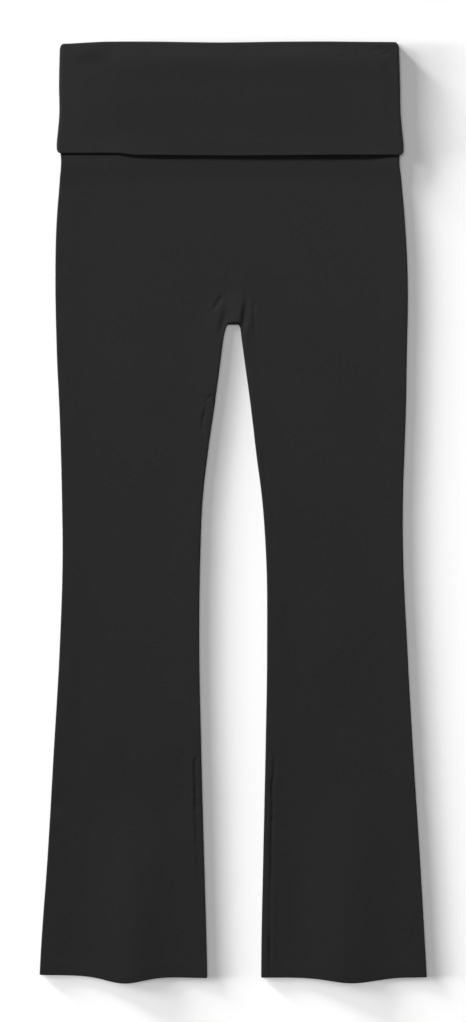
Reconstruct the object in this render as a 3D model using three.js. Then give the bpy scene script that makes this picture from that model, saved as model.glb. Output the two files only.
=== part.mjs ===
// Foldover flared leggings in black jersey, laid flat with the front up.
// Four leg panels meet at the sides, the inseams and the centre. A small kite-shaped
// gusset joins them at the crotch. The waistband is sewn to their top edge, goes up
// inside, turns over at the fold line and comes down outside, in front and behind.
//
// Axes: +X is the wearer's left, +Y the waist end, +Z up from the surface it lies on.
// Places along the length are given as "down", in mm below the waistband's fold line.

import * as THREE from "three";

// Driving sizes, mm
const LENGTH = 1082;
const LEG_CLOTH = 1.2;
const BAND_CLOTH = 1.8;
const SEAM_GAP = 0.3;
const LAYER_GAP = 0.4;
const SIDE_ROLL = 2.45;
const WAIST_SEAM = 116;
const BAND_EDGE = 131.6;
const BAND_CORNER = 5;
const CROTCH = 324.3;
const CROTCH_HALF = 8;
const CROTCH_CORNER = 3.5;
const GUSSET_LENGTH = 30.5;
const GUSSET_TIP_HALF = 0.45;
const HEM_BEND = 960;
const SETTLE = 1.4;
const LEAST_RISE = -1.8;
const EDGE_PUFF = 26;

// Where the legs come down off the band's outer layer, and where the front settles
// below the band's free edge, mm down
const BAND_STEP = { start: 137, end: 158, settleFrom: 118, settled: 134 };

// The open waist: how high it gapes, where that starts and is full, in from the side
// seam, and where it starts and is gone, down from the fold line, mm
const MOUTH = { gape: 5.2, inFrom: 8, fullIn: 90, downFrom: 8, goneDown: 112 };

// Soft roll of the front's outer layer just under the fold line, mm
const FOLD_PUFF = { high: 2, below: 22, spread: 15, sideFade: 40 };

// The fold line sinks a little at the middle and towards the wearer's right, mm
const FOLD_LINE = { sink: 1.1, at: -15, spread: 55, droop: 2, droopFrom: 140, droopTo: 200 };

// The free edge hangs lower at the middle and steps up towards the wearer's right, mm
const FREE_EDGE = { hang: 0.8, spread: 75, step: 2.2, stepFrom: 112, stepTo: 134 };

// Sizes worked out from them, mm
const HALF_GAP = SEAM_GAP / 2;
const BAND_ROLL = SIDE_ROLL - HALF_GAP + LAYER_GAP + BAND_CLOTH;
const BAND_LIFT = BAND_ROLL + HALF_GAP - SIDE_ROLL;
const GUSSET_TIP = CROTCH - GUSSET_LENGTH;
const CROTCH_FLAT = CROTCH_HALF - CROTCH_CORNER;

// Where the gusset's and the legs' edges meet the crotch corner, degrees round its arc
const GUSSET_AT = THREE.MathUtils.degToRad(62);
const LEG_AT = THREE.MathUtils.degToRad(34);

// The side seams and inseams lie under the rolled edges, this far round from the middle
// of the side, and half of their gap takes up this angle at mid-thickness
const SEAM_AT = THREE.MathUtils.degToRad(45);
const SEAM_HALF_ANGLE = HALF_GAP / (SIDE_ROLL - LEG_CLOTH / 2);

// Below the crotch corner the inseam turns under over this length, mm
const SEAM_TURNS_UNDER = 42;

// Edges of the flat shape below the waist seam, mm out from the centre line.
// Right and left are the wearer's.
const OUTLINE = [
  { down: 116, rightSide: 199.9, rightInseam: 8.0, leftInseam: 8.0, leftSide: 192.9 },
  { down: 134, rightSide: 197.8, rightInseam: 8.0, leftInseam: 8.0, leftSide: 190.9 },
  { down: 160, rightSide: 199.5, rightInseam: 8.0, leftInseam: 8.0, leftSide: 193.4 },
  { down: 205, rightSide: 202.9, rightInseam: 8.0, leftInseam: 8.0, leftSide: 197.3 },
  { down: 274, rightSide: 204.4, rightInseam: 8.0, leftInseam: 8.0, leftSide: 200.6 },
  { down: 326, rightSide: 203.6, rightInseam: 8.0, leftInseam: 8.0, leftSide: 200.3 },
  { down: 333, rightSide: 203.4, rightInseam: 9.8, leftInseam: 8.8, leftSide: 200.1 },
  { down: 366, rightSide: 202.4, rightInseam: 14.6, leftInseam: 13.1, leftSide: 199.4 },
  { down: 412, rightSide: 200.2, rightInseam: 20.7, leftInseam: 19.4, leftSide: 198.7 },
  { down: 470, rightSide: 198.1, rightInseam: 29.0, leftInseam: 26.2, leftSide: 196.8 },
  { down: 527, rightSide: 196.8, rightInseam: 35.3, leftInseam: 33.4, leftSide: 195.0 },
  { down: 585, rightSide: 196.1, rightInseam: 37.7, leftInseam: 37.5, leftSide: 195.2 },
  { down: 700, rightSide: 199.6, rightInseam: 39.0, leftInseam: 38.9, leftSide: 200.3 },
  { down: 815, rightSide: 206.3, rightInseam: 36.7, leftInseam: 37.1, leftSide: 206.7 },
  { down: 930, rightSide: 213.0, rightInseam: 33.7, leftInseam: 34.6, leftSide: 214.1 },
  { down: 1045, rightSide: 221.1, rightInseam: 30.4, leftInseam: 32.3, leftSide: 220.9 },
  { down: 1082, rightSide: 223.0, rightInseam: 29.6, leftInseam: 32.0, leftSide: 223.0 },
];

// Edges of the folded waistband, mm out from the centre line
const BAND_OUTLINE = [
  { down: 0, rightSide: 199.2, leftSide: 190.4 },
  { down: 44, rightSide: 200.1, leftSide: 191.6 },
  { down: 90, rightSide: 200.0, leftSide: 192.7 },
  { down: 108, rightSide: 201.5, leftSide: 194.4 },
  { down: 123, rightSide: 202.7, leftSide: 195.7 },
  { down: 134, rightSide: 202.5, leftSide: 195.5 },
];

// One flute rises from each hem on the front. Its spread differs on its two sides.
// The hem's edge is given at the side seam and at the inseam, mm down, with its dip.
const HEMS = {
  right: { crest: -116, high: 10, up: 215, outward: 37, inward: 28,
    dip: 7.4, dipAt: -122, dipSpread: 31, atSide: 1072.5, atInseam: 1076.6 },
  left: { crest: 126, high: 9.5, up: 230, outward: 34, inward: 38,
    dip: 6.3, dipAt: 137, dipSpread: 34, atSide: 1075.2, atInseam: 1075.9 },
};

// Soft ridges and troughs of the front, mm, with their turn in degrees from the length
const FOLDS = [
  { x: 12, down: 318, across: 3.5, along: 17, turn: 6, high: -0.5 },
  { x: -17, down: 300, across: 3, along: 8, turn: -30, high: -0.4 },
  { x: -10, down: 352, across: 5, along: 22, turn: 22, high: 0.5 },
  { x: 66, down: 372, across: 9, along: 55, turn: -38, high: 0.7 },
  { x: -78, down: 388, across: 10, along: 60, turn: 40, high: 0.6 },
  { x: 118, down: 560, across: 13, along: 120, turn: -4, high: 0.8 },
  { x: -120, down: 590, across: 12, along: 110, turn: 5, high: 0.7 },
  { x: 96, down: 745, across: 14, along: 90, turn: 8, high: 0.7 },
  { x: -92, down: 760, across: 13, along: 95, turn: -7, high: 0.6 },
  { x: -180, down: 935, across: 9, along: 80, turn: 5, high: 0.8 },
  { x: 60, down: 985, across: 10, along: 70, turn: -6, high: 0.9 },
];

// Shares of the turn from the seam to the flat cloth at which a rolled edge has columns
const FRONT_TURN = [0, 0.33, 0.64, 1];
const BACK_TURN = [0, 0.5, 1];

// Distance in from an edge of the first column on the flat cloth, mm
const EDGE_STRIP = 6;

// Angles round the side of the folded waistband, degrees
const BAND_SIDE_ANGLES = [0, 32, 62, 90];

const { clamp, lerp, smoothstep, degToRad } = THREE.MathUtils;

// Reads one column of a table at a place down the garment, on a smooth curve.
function readTable(table, column, down) {
  const last = table.length - 1;
  const slope = (a, b) => (table[b][column] - table[a][column]) / (table[b].down - table[a].down);
  let row = 0;
  while (row < last - 1 && down > table[row + 1].down) row += 1;
  const span = table[row + 1].down - table[row].down;
  const t = clamp((down - table[row].down) / span, 0, 1);
  const startSlope = slope(Math.max(row - 1, 0), row + 1) * span;
  const endSlope = slope(row, Math.min(row + 2, last)) * span;
  const start = table[row][column];
  const end = table[row + 1][column];
  const cubic = 2 * (start - end) + startSlope + endSlope;
  const square = 3 * (end - start) - 2 * startSlope - endSlope;
  return ((cubic * t + square) * t + startSlope) * t + start;
}

// Distance from a point to the crotch arch, a tall opening with two round corners.
function crotchDistance(x, down) {
  const inseam = x < 0 ? "rightInseam" : "leftInseam";
  const across = Math.abs(x) - readTable(OUTLINE, inseam, down) + CROTCH_CORNER;
  const above = CROTCH + CROTCH_CORNER - down;
  const outside = Math.hypot(Math.max(across, 0), Math.max(above, 0));
  return outside + Math.min(Math.max(across, above), 0) - CROTCH_CORNER;
}

// Distance from a point of the flat shape in to its nearest edge.
function edgeDistance(x, down) {
  const side = x < 0 ? "rightSide" : "leftSide";
  return Math.min(readTable(OUTLINE, side, down) - Math.abs(x), crotchDistance(x, down));
}

// Height of one soft ridge or trough at a point.
function foldHeight(fold, x, down) {
  const turn = degToRad(fold.turn);
  const dx = x - fold.x;
  const dy = down - fold.down;
  const across = (dx * Math.cos(turn) + dy * Math.sin(turn)) / fold.across;
  const along = (dy * Math.cos(turn) - dx * Math.sin(turn)) / fold.along;
  return fold.high * Math.exp(-(across ** 2) - along ** 2);
}

// Shape across a hem flute, from 0 far away to 1 on its crest.
function fluteShape(hem, x) {
  const outside = Math.abs(x) > Math.abs(hem.crest);
  return Math.exp(-(((x - hem.crest) / (outside ? hem.outward : hem.inward)) ** 2));
}

// Height that the open waist lifts the front of the band off its back.
function mouthRise(x, down) {
  const side = readTable(BAND_OUTLINE, x < 0 ? "rightSide" : "leftSide", down) - Math.abs(x);
  const across = smoothstep(side, MOUTH.inFrom, MOUTH.fullIn);
  return MOUTH.gape * across * (1 - smoothstep(down, MOUTH.downFrom, MOUTH.goneDown));
}

// Height that the front of the legs stands over its two flat layers.
function frontRise(x, down) {
  const hem = x < 0 ? HEMS.right : HEMS.left;
  const reach = smoothstep(down, HEMS.right.atSide - hem.up, HEMS.right.atSide);
  const flute = hem.high * reach * fluteShape(hem, x);
  const folds = FOLDS.reduce((sum, fold) => sum + foldHeight(fold, x, down), 0);
  const inFromEdge = smoothstep(edgeDistance(x, down), 0, EDGE_PUFF);
  const settled = -SETTLE * smoothstep(down, BAND_STEP.settleFrom, BAND_STEP.settled) * inFromEdge;
  return Math.max(settled + (flute + folds) * inFromEdge, LEAST_RISE);
}

// Height of the underside: nought, but over the band's outer layer near the waist.
function bodyLift(down) {
  return BAND_LIFT * (1 - smoothstep(down, BAND_STEP.start, BAND_STEP.end));
}

// Step over which slopes are measured, mm
const SLOPE_STEP = 0.02;

// Point of the front or back surface of the legs, and its outward normal.
function bodySurface(x, down, face) {
  const inset = clamp(edgeDistance(x, down) / SIDE_ROLL, 0, 1);
  const outward = 1 - inset;
  const upward = Math.sqrt(1 - outward ** 2);
  const slopeOf = (height) => [
    (height(x + SLOPE_STEP, down) - height(x - SLOPE_STEP, down)) / (2 * SLOPE_STEP),
    (height(x, down - SLOPE_STEP) - height(x, down + SLOPE_STEP)) / (2 * SLOPE_STEP),
  ];
  const rise = face > 0 ? frontRise : () => 0;
  const edge = slopeOf(edgeDistance);
  const slope = slopeOf((u, v) => bodyLift(v) + rise(u, v));
  const z = bodyLift(down) + SIDE_ROLL * (1 + face * upward) + rise(x, down);
  const normal = new THREE.Vector3(
    -edge[0] * outward - face * slope[0] * upward,
    -edge[1] * outward - face * slope[1] * upward,
    face * upward,
  ).normalize();
  return { point: new THREE.Vector3(x, LENGTH / 2 - down, z), normal };
}

// Closed wall between a grid of outer points and the same grid on its inside.
function closedWall(name, outer, inner, colour) {
  const rows = outer.length;
  const columns = outer[0].length;
  const points = [...outer.flat(), ...inner.flat()];
  const inside = rows * columns;
  const at = (row, column) => row * columns + column;
  const faces = [];
  const quad = (a, b, c, d) => faces.push(a, b, c, a, c, d);
  for (let row = 0; row < rows - 1; row += 1) {
    for (let column = 0; column < columns - 1; column += 1) {
      const near = [at(row, column), at(row + 1, column)];
      const far = [at(row + 1, column + 1), at(row, column + 1)];
      const corners = [...near, ...far];
      quad(...corners);
      quad(...corners.map((corner) => corner + inside).reverse());
    }
  }
  const rim = [];
  for (let row = 0; row < rows - 1; row += 1) rim.push(at(row, 0));
  for (let column = 0; column < columns - 1; column += 1) rim.push(at(rows - 1, column));
  for (let row = rows - 1; row > 0; row -= 1) rim.push(at(row, columns - 1));
  for (let column = columns - 1; column > 0; column -= 1) rim.push(at(0, column));
  rim.forEach((from, index) => {
    const to = rim[(index + 1) % rim.length];
    quad(to, from, from + inside, to + inside);
  });
  const geometry = new THREE.BufferGeometry();
  const positions = points.flatMap((point) => point.toArray());
  geometry.setAttribute("position", new THREE.Float32BufferAttribute(positions, 3));
  geometry.setIndex(faces);
  geometry.computeVertexNormals();
  const material = new THREE.MeshStandardMaterial({ color: colour, roughness: 0.92, metalness: 0 });
  const mesh = new THREE.Mesh(geometry, material);
  mesh.name = name;
  return mesh;
}

// Wall through surface points: its inside lies one cloth thickness in along each normal.
function clothWall(name, surface, colour) {
  const outer = surface.map((row) => row.map((spot) => spot.point));
  const inner = surface.map((row) => row.map(
    (spot) => spot.point.clone().addScaledVector(spot.normal, -LEG_CLOTH),
  ));
  return closedWall(name, outer, inner, colour);
}

// Point on the round corner of the crotch arch, at an angle round its arc.
function crotchCorner(angle) {
  return {
    x: CROTCH_FLAT + CROTCH_CORNER * Math.cos(angle),
    down: CROTCH + CROTCH_CORNER * (1 - Math.sin(angle)),
  };
}

// Inner edge of a leg panel: centre seam, gusset seam, crotch corner, then inseam.
function innerEdge(side, down) {
  const corner = crotchCorner(LEG_AT);
  if (down < GUSSET_TIP) return HALF_GAP;
  if (down <= corner.down) {
    const t = (down - GUSSET_TIP) / (corner.down - GUSSET_TIP);
    return lerp(GUSSET_TIP_HALF + HALF_GAP, corner.x, t);
  }
  const drop = CROTCH + CROTCH_CORNER - down;
  if (drop > 0) return CROTCH_FLAT + Math.sqrt(CROTCH_CORNER ** 2 - drop ** 2);
  return readTable(OUTLINE, `${side}Inseam`, down);
}

// Places down a leg panel of its rows: close at the band, crotch and hem.
function legRows() {
  const crotch = CROTCH + CROTCH_CORNER;
  const rows = [WAIST_SEAM + HALF_GAP, 122, 128, 134, 140, 147, 153, 160, 185, 222, 260];
  rows.push(GUSSET_TIP - 6, GUSSET_TIP, GUSSET_TIP + 11, GUSSET_TIP + 20, GUSSET_TIP + 26);
  rows.push(crotchCorner(LEG_AT).down, crotchCorner(LEG_AT / 2).down);
  rows.push(crotch, crotch + 6, crotch + 13, crotch + 23);
  for (let down = 366; down < 900; down += 59) rows.push(down);
  rows.push(922, 965, 1000, 1030, 1052, HEMS.right.atSide);
  return rows;
}

// Place of the hem's edge at a distance from the centre line, mm down.
function hemLine(hem, side, x) {
  const inseam = readTable(OUTLINE, `${side}Inseam`, hem.atInseam);
  const out = readTable(OUTLINE, `${side}Side`, hem.atSide);
  const t = (Math.abs(x) - inseam) / (out - inseam);
  const dip = hem.dip * Math.exp(-(((x - hem.dipAt) / hem.dipSpread) ** 2));
  return lerp(hem.atInseam, hem.atSide, t) + dip;
}

// Columns round a rolled edge, from its seam on to the flat cloth: how far in from the
// edge and on which face. The front panel comes round from under the edge.
function edgeColumns(face, seamAngle) {
  const start = SEAM_HALF_ANGLE - face * seamAngle;
  return (face > 0 ? FRONT_TURN : BACK_TURN).map((share) => {
    const angle = lerp(start, Math.PI / 2, share);
    return { inset: SIDE_ROLL * (1 - Math.cos(angle)), face: angle < 0 ? -face : face };
  });
}

// Columns beside the centre seam or the gusset, where the cloth lies flat.
function flatColumns(face) {
  return (face > 0 ? FRONT_TURN : BACK_TURN).map((share) => ({ inset: share * SIDE_ROLL, face }));
}

// Columns of one row of a leg panel, from the inner edge to the side.
function panelColumns(inner, outer, rowDown, face, between) {
  const corner = crotchCorner(LEG_AT).down;
  const turnedUnder = smoothstep(rowDown, corner, corner + SEAM_TURNS_UNDER);
  const atInner = rowDown < corner ? flatColumns(face) : edgeColumns(face, SEAM_AT * turnedUnder);
  const fromInner = atInner.map((column) => ({ out: inner + column.inset, face: column.face }));
  const atOuter = edgeColumns(face, SEAM_AT).reverse();
  const fromOuter = atOuter.map((column) => ({ out: outer - column.inset, face: column.face }));
  const middle = [];
  for (let i = 0; i <= between; i += 1) {
    middle.push({ out: lerp(inner + EDGE_STRIP, outer - EDGE_STRIP, i / between), face });
  }
  return [...fromInner, ...middle, ...fromOuter];
}

// One leg panel, on the wearer's left or right, in front (face 1) or behind (face -1).
function legPanel(name, side, face, between, colour) {
  const sign = side === "left" ? 1 : -1;
  const hem = HEMS[side];
  const surface = legRows().map((rowDown) => {
    const outer = readTable(OUTLINE, `${side}Side`, rowDown);
    const inner = innerEdge(side, rowDown);
    return panelColumns(inner, outer, rowDown, face, between).map((column) => {
      const x = sign * column.out;
      const toHem = hemLine(hem, side, x) - HEMS.right.atSide;
      const share = clamp((rowDown - HEM_BEND) / (HEMS.right.atSide - HEM_BEND), 0, 1);
      return bodySurface(x, rowDown + toHem * share, column.face);
    });
  });
  if (sign * face < 0) surface.forEach((row) => row.reverse());
  return clothWall(name, surface, colour);
}

// Kite-shaped gusset: its front half, the roll over the crotch edge and its back half.
function gusset(name, colour) {
  const end = crotchCorner(GUSSET_AT);
  const across = [-1, -0.8, -0.55, -0.2, 0.2, 0.55, 0.8, 1];
  const fromTip = [0, 0.3, 0.58, 0.76, 0.88, 0.95, 0.985];
  const edgeDown = (x) => {
    const past = Math.max(Math.abs(x) - CROTCH_FLAT, 0);
    return CROTCH + CROTCH_CORNER - Math.sqrt(CROTCH_CORNER ** 2 - past ** 2);
  };
  const spot = (column, share, face) => {
    const edge = column * end.x;
    const tip = column * (GUSSET_TIP_HALF - HALF_GAP);
    return bodySurface(lerp(tip, edge, share), lerp(GUSSET_TIP, edgeDown(edge), share), face);
  };
  const front = fromTip.map((share) => across.map((column) => spot(column, share, 1)));
  const back = fromTip.map((share) => across.map((column) => spot(column, share, -1))).reverse();
  const edge = across.map((column) => spot(column, 1, 1));
  return clothWall(name, [...front, edge, ...back], colour);
}

// Middle of the folded waistband's cloth, from its free edge over the fold to the seam:
// how far below the fold line, how far out from the middle of the layers, which layer.
function bandProfile(face) {
  const outerLayer = BAND_ROLL - BAND_CLOTH / 2;
  const innerLayer = SIDE_ROLL - HALF_GAP - BAND_CLOTH / 2;
  const turn = (outerLayer - innerLayer) / 2;
  const high = face > 0 ? FOLD_PUFF.high : 0;
  const puff = (below) => high * Math.exp(-(((below - FOLD_PUFF.below) / FOLD_PUFF.spread) ** 2));
  const rows = [];
  [BAND_EDGE, 126, 108, 80, 50, 32, 20, 12, 6].forEach((below) => {
    rows.push({ below, out: outerLayer, puff: puff(below), end: BAND_EDGE });
  });
  [160, 130, 100, 70, 40, 15].forEach((degrees) => {
    const angle = degToRad(degrees);
    const below = BAND_CLOTH / 2 + turn * (1 - Math.sin(angle));
    const share = (1 - Math.cos(angle)) / 2;
    const out = lerp(innerLayer, outerLayer, share);
    rows.push({ below, out, puff: puff(below) * share, end: WAIST_SEAM });
  });
  [6, 30, 70, WAIST_SEAM - HALF_GAP].forEach((below) => {
    rows.push({ below, out: innerLayer, puff: 0, end: WAIST_SEAM });
  });
  return rows;
}

// How far the band's fold line sinks below its highest point, mm.
function foldSag(x) {
  const middle = FOLD_LINE.sink * Math.exp(-(((x - FOLD_LINE.at) / FOLD_LINE.spread) ** 2));
  return middle + FOLD_LINE.droop * smoothstep(-x, FOLD_LINE.droopFrom, FOLD_LINE.droopTo);
}

// How far the band's free edge hangs below or above its usual place, mm.
function edgeSag(x) {
  const middle = FREE_EDGE.hang * Math.exp(-((x / FREE_EDGE.spread) ** 2));
  return middle - FREE_EDGE.step * smoothstep(-x, FREE_EDGE.stepFrom, FREE_EDGE.stepTo);
}

// Front (face 1) or back (face -1) half of the folded waistband.
function waistband(name, face, between, colour) {
  const middle = BAND_ROLL + HALF_GAP;
  const columns = [
    ...BAND_SIDE_ANGLES.map((degrees) => ({ side: -1, share: 0, degrees })),
    ...Array.from({ length: between }, (_, i) => (
      { side: 0, share: (i + 1) / (between + 1), degrees: 90 }
    )),
    ...BAND_SIDE_ANGLES.map((degrees) => ({ side: 1, share: 1, degrees })).reverse(),
  ];
  const place = (column, row, out, below) => {
    const rightCore = BAND_ROLL - readTable(BAND_OUTLINE, "rightSide", below);
    const leftCore = readTable(BAND_OUTLINE, "leftSide", below) - BAND_ROLL;
    const angle = degToRad(column.degrees);
    const x = lerp(rightCore, leftCore, column.share) + column.side * out * Math.cos(angle);
    const round = BAND_CORNER * (1 - Math.sin(angle));
    const toEnd = clamp(below / row.end, 0, 1);
    const outerLayer = row.end === BAND_EDGE;
    const endSag = outerLayer ? edgeSag(x) - round : 0;
    const sink = (foldSag(x) + round) * (1 - toEnd) + endSag * toEnd;
    const inFromSide = smoothstep(Math.min(x - rightCore, leftCore - x), 0, FOLD_PUFF.sideFade);
    const rise = face > 0 ? mouthRise(x, below) + row.puff * inFromSide : 0;
    const z = middle + face * (HALF_GAP + out * Math.sin(angle)) + rise;
    return new THREE.Vector3(x, LENGTH / 2 - below - sink, z);
  };
  const profile = bandProfile(face);
  const walls = [BAND_CLOTH / 2, -BAND_CLOTH / 2].map((offset) => profile.map((row, index) => {
    const before = profile[Math.max(index - 1, 0)];
    const after = profile[Math.min(index + 1, profile.length - 1)];
    const run = Math.hypot(after.below - before.below, after.out - before.out);
    const out = row.out - (offset * (after.below - before.below)) / run;
    const below = row.below + (offset * (after.out - before.out)) / run;
    return columns.map((column) => place(column, row, out, below));
  }));
  if (face > 0) walls.forEach((wall) => wall.forEach((row) => row.reverse()));
  return closedWall(name, walls[0], walls[1], colour);
}

const BODY_BLACK = 0x272727;
const BAND_BLACK = 0x2a2a2a;

const leggings = new THREE.Group();
leggings.add(
  legPanel("front_leg_left", "left", 1, 12, BODY_BLACK),
  legPanel("front_leg_right", "right", 1, 12, BODY_BLACK),
  legPanel("back_leg_left", "left", -1, 4, BODY_BLACK),
  legPanel("back_leg_right", "right", -1, 4, BODY_BLACK),
  gusset("gusset", BODY_BLACK),
  waistband("waistband_front", 1, 13, BAND_BLACK),
  waistband("waistband_back", -1, 7, BAND_BLACK),
);

export default leggings;
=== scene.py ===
from collections import namedtuple
from math import pi

import bmesh
import bpy
import numpy as np
from mathutils import Matrix, Vector


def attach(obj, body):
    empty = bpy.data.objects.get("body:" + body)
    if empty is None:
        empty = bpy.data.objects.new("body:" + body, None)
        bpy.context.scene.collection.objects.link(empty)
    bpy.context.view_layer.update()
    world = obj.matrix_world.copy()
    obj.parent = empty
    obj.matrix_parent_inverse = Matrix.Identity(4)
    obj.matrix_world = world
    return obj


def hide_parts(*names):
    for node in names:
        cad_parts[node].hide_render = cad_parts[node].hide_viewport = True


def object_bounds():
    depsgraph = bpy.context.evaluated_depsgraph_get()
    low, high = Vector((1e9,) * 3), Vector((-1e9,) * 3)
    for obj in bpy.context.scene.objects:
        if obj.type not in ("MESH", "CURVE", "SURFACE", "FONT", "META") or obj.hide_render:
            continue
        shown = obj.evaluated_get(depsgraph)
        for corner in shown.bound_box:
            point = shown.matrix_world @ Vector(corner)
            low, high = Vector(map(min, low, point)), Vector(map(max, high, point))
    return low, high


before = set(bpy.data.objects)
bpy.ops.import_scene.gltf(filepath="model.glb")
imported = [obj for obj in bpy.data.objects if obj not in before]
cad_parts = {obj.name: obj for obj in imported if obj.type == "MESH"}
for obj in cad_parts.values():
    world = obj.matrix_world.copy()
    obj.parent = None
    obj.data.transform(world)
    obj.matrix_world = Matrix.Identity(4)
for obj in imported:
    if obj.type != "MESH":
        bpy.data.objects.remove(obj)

bl_info = {
    "name": "Foldover Flared Leggings",
    "version": (1, 0, 0),
    "blender": (4, 5, 0),
    "location": "3D View > Sidebar > Leggings",
    "description": "Lays out foldover flared leggings in black jersey and lights them",
    "category": "Add Mesh",
}

# The garment's box in the frame, kept before any cloth is made
CAD_LOW, CAD_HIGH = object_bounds()

# Cloth sizes here are in mm, as a cutter gives them, and MM turns them into metres.
# "down" is the distance below the waistband's fold line. Right and left are the wearer's.
MM = 0.001
FOLD_LINE_Y = CAD_HIGH.y / MM

# Driving sizes of the garment, mm. HALF_SPACE is half of the space between its two layers, and
# between the legs and the waistband at their seam.
SIDE_ROLL = 2.3
BAND_ROLL = 4.5
BAND_LIFT = BAND_ROLL - SIDE_ROLL
HALF_SPACE = 0.15
LAYER_MIDDLE = BAND_ROLL + HALF_SPACE
WAIST_SEAM = 116
BAND_EDGE = 129.3
BAND_CORNER = 5
CROTCH = 324.3
CROTCH_HALF = 8
CROTCH_CORNER = 3.5
GUSSET_LENGTH = 30.5
GUSSET_TIP_HALF = 0.35
HEM_BEND = 960
HEM_ALLOWANCE = 20
HEM_ROLL = 1.0
HEM_TURNED = np.array([2, 5, 9])
STITCH_ROWS = (15.5, 18.5)
STITCH_LENGTH = 2.4
STITCH_PITCH = 3.0
STITCH_WIDTH = 0.36
STITCH_INSET = 3
STITCH_ENDS_AT = np.array(1060.0)

# The front of the legs, mm: how far it sinks from the waistband on, its least rise over the
# two flat layers, how sharply it stops there, and how far in its wide forms reach full height
SETTLE = 1.7
LEAST_RISE = -2.7
FLOOR_SHARPNESS = 4
EDGE_PUFF = 40
# How far in the fine creases reach full height, along the edges and at the crotch's arch
FINE_EDGE = 1.3
FINE_ARCH = 3.0
# Where the legs come down from the waistband's height, and where their front falls, mm down
LIFT_FALL = (135, 170)
FRONT_FALL = (126, 166)
# Where it sinks: under the free edge, or farther down in the part near the right side, mm
SINK = (WAIST_SEAM, 131)
LATE_SINK = (150, 215)
LATE_SIDE = (-135, -70)

# The waist, mm: where the front's rise grows in from the sides, where it dies out down from the
# fold line, the crest of the soft roll below that line, and where the right corner's roll starts
MOUTH_SIDES = (8, 90)
MOUTH_DEPTH = (8, 112)
ROLL_CREST = 25.5
ROLL_CORNER = (134, 158)

# The level middle of a leg panel and of the waistband, and the step between its columns, mm
LEG_LEVEL = 175
LEG_COLUMN = 2.9
BAND_LEVEL = 380
BAND_COLUMN = 2.8

# How round the cut edges of the cloth are, in metres
LEG_ROUNDING = 0.03 * MM
BAND_ROUNDING = 0.6 * MM

# The stage, in metres: the soft light's place and width, and the camera's place off the centre
KEY_PLACE = (-2.1, 6.0, 4.0)
KEY_WIDTH = 1.8
CAMERA_PLACE = (-0.2 * MM, 2.6 * MM)

# Sizes worked out from the ones above, mm
GUSSET_TIP = CROTCH - GUSSET_LENGTH
CROTCH_FLAT = CROTCH_HALF - CROTCH_CORNER
QUARTER_ROLL = SIDE_ROLL * pi / 2

# How far round the crotch's corner the gusset ends and each leg panel starts
GUSSET_AT = np.radians(46)
LEG_AT = np.radians(45)

# Edges of the flat shape below the waist seam, mm out from the centre line
Outline = namedtuple("Outline", "down right_side right_inseam left_inseam left_side")
OUTLINE = (
    Outline(116, 199.9, 8.0, 8.0, 192.9),
    Outline(134, 197.8, 8.0, 8.0, 190.9),
    Outline(160, 199.5, 8.0, 8.0, 193.4),
    Outline(205, 202.9, 8.0, 8.0, 197.3),
    Outline(274, 204.4, 8.0, 8.0, 200.6),
    Outline(326, 203.6, 8.0, 8.0, 200.3),
    Outline(333, 203.4, 9.8, 8.8, 200.1),
    Outline(366, 202.4, 14.6, 13.1, 199.4),
    Outline(412, 200.2, 20.7, 19.4, 198.7),
    Outline(470, 198.1, 29.0, 26.2, 196.8),
    Outline(527, 196.8, 35.3, 33.4, 195.0),
    Outline(585, 196.1, 37.7, 37.5, 195.2),
    Outline(700, 199.6, 39.0, 38.9, 200.3),
    Outline(815, 206.3, 36.7, 37.1, 206.7),
    Outline(930, 213.0, 33.7, 34.6, 214.1),
    Outline(1045, 221.1, 30.4, 32.3, 220.9),
    Outline(1082, 223.0, 29.6, 32.0, 223.0),
)

# Edges of the folded waistband, mm out from the centre line
BandOutline = namedtuple("BandOutline", "down right_side left_side")
BAND_OUTLINE = (
    BandOutline(0, 199.2, 190.4),
    BandOutline(44, 200.1, 191.6),
    BandOutline(90, 200.0, 192.7),
    BandOutline(108, 201.5, 194.4),
    BandOutline(123, 202.7, 195.7),
    BandOutline(134, 202.5, 195.5),
)

# Hems: the flute on the front, its spread on both sides, and the hem's edge with its dip
Hem = namedtuple("Hem", "crest up outward inward dip dip_at dip_spread at_side at_inseam")
HEMS = {
    "right": Hem(-116, 215, 37, 28, 7.3, -126, 29, 1071.4, 1075.0),
    "left": Hem(126, 230, 34, 38, 5.9, 139, 36, 1074.2, 1074.6),
}
# The last row of every leg panel, before the hem's own line moves it, mm down
LAST_ROW = HEMS["right"].at_side

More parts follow.
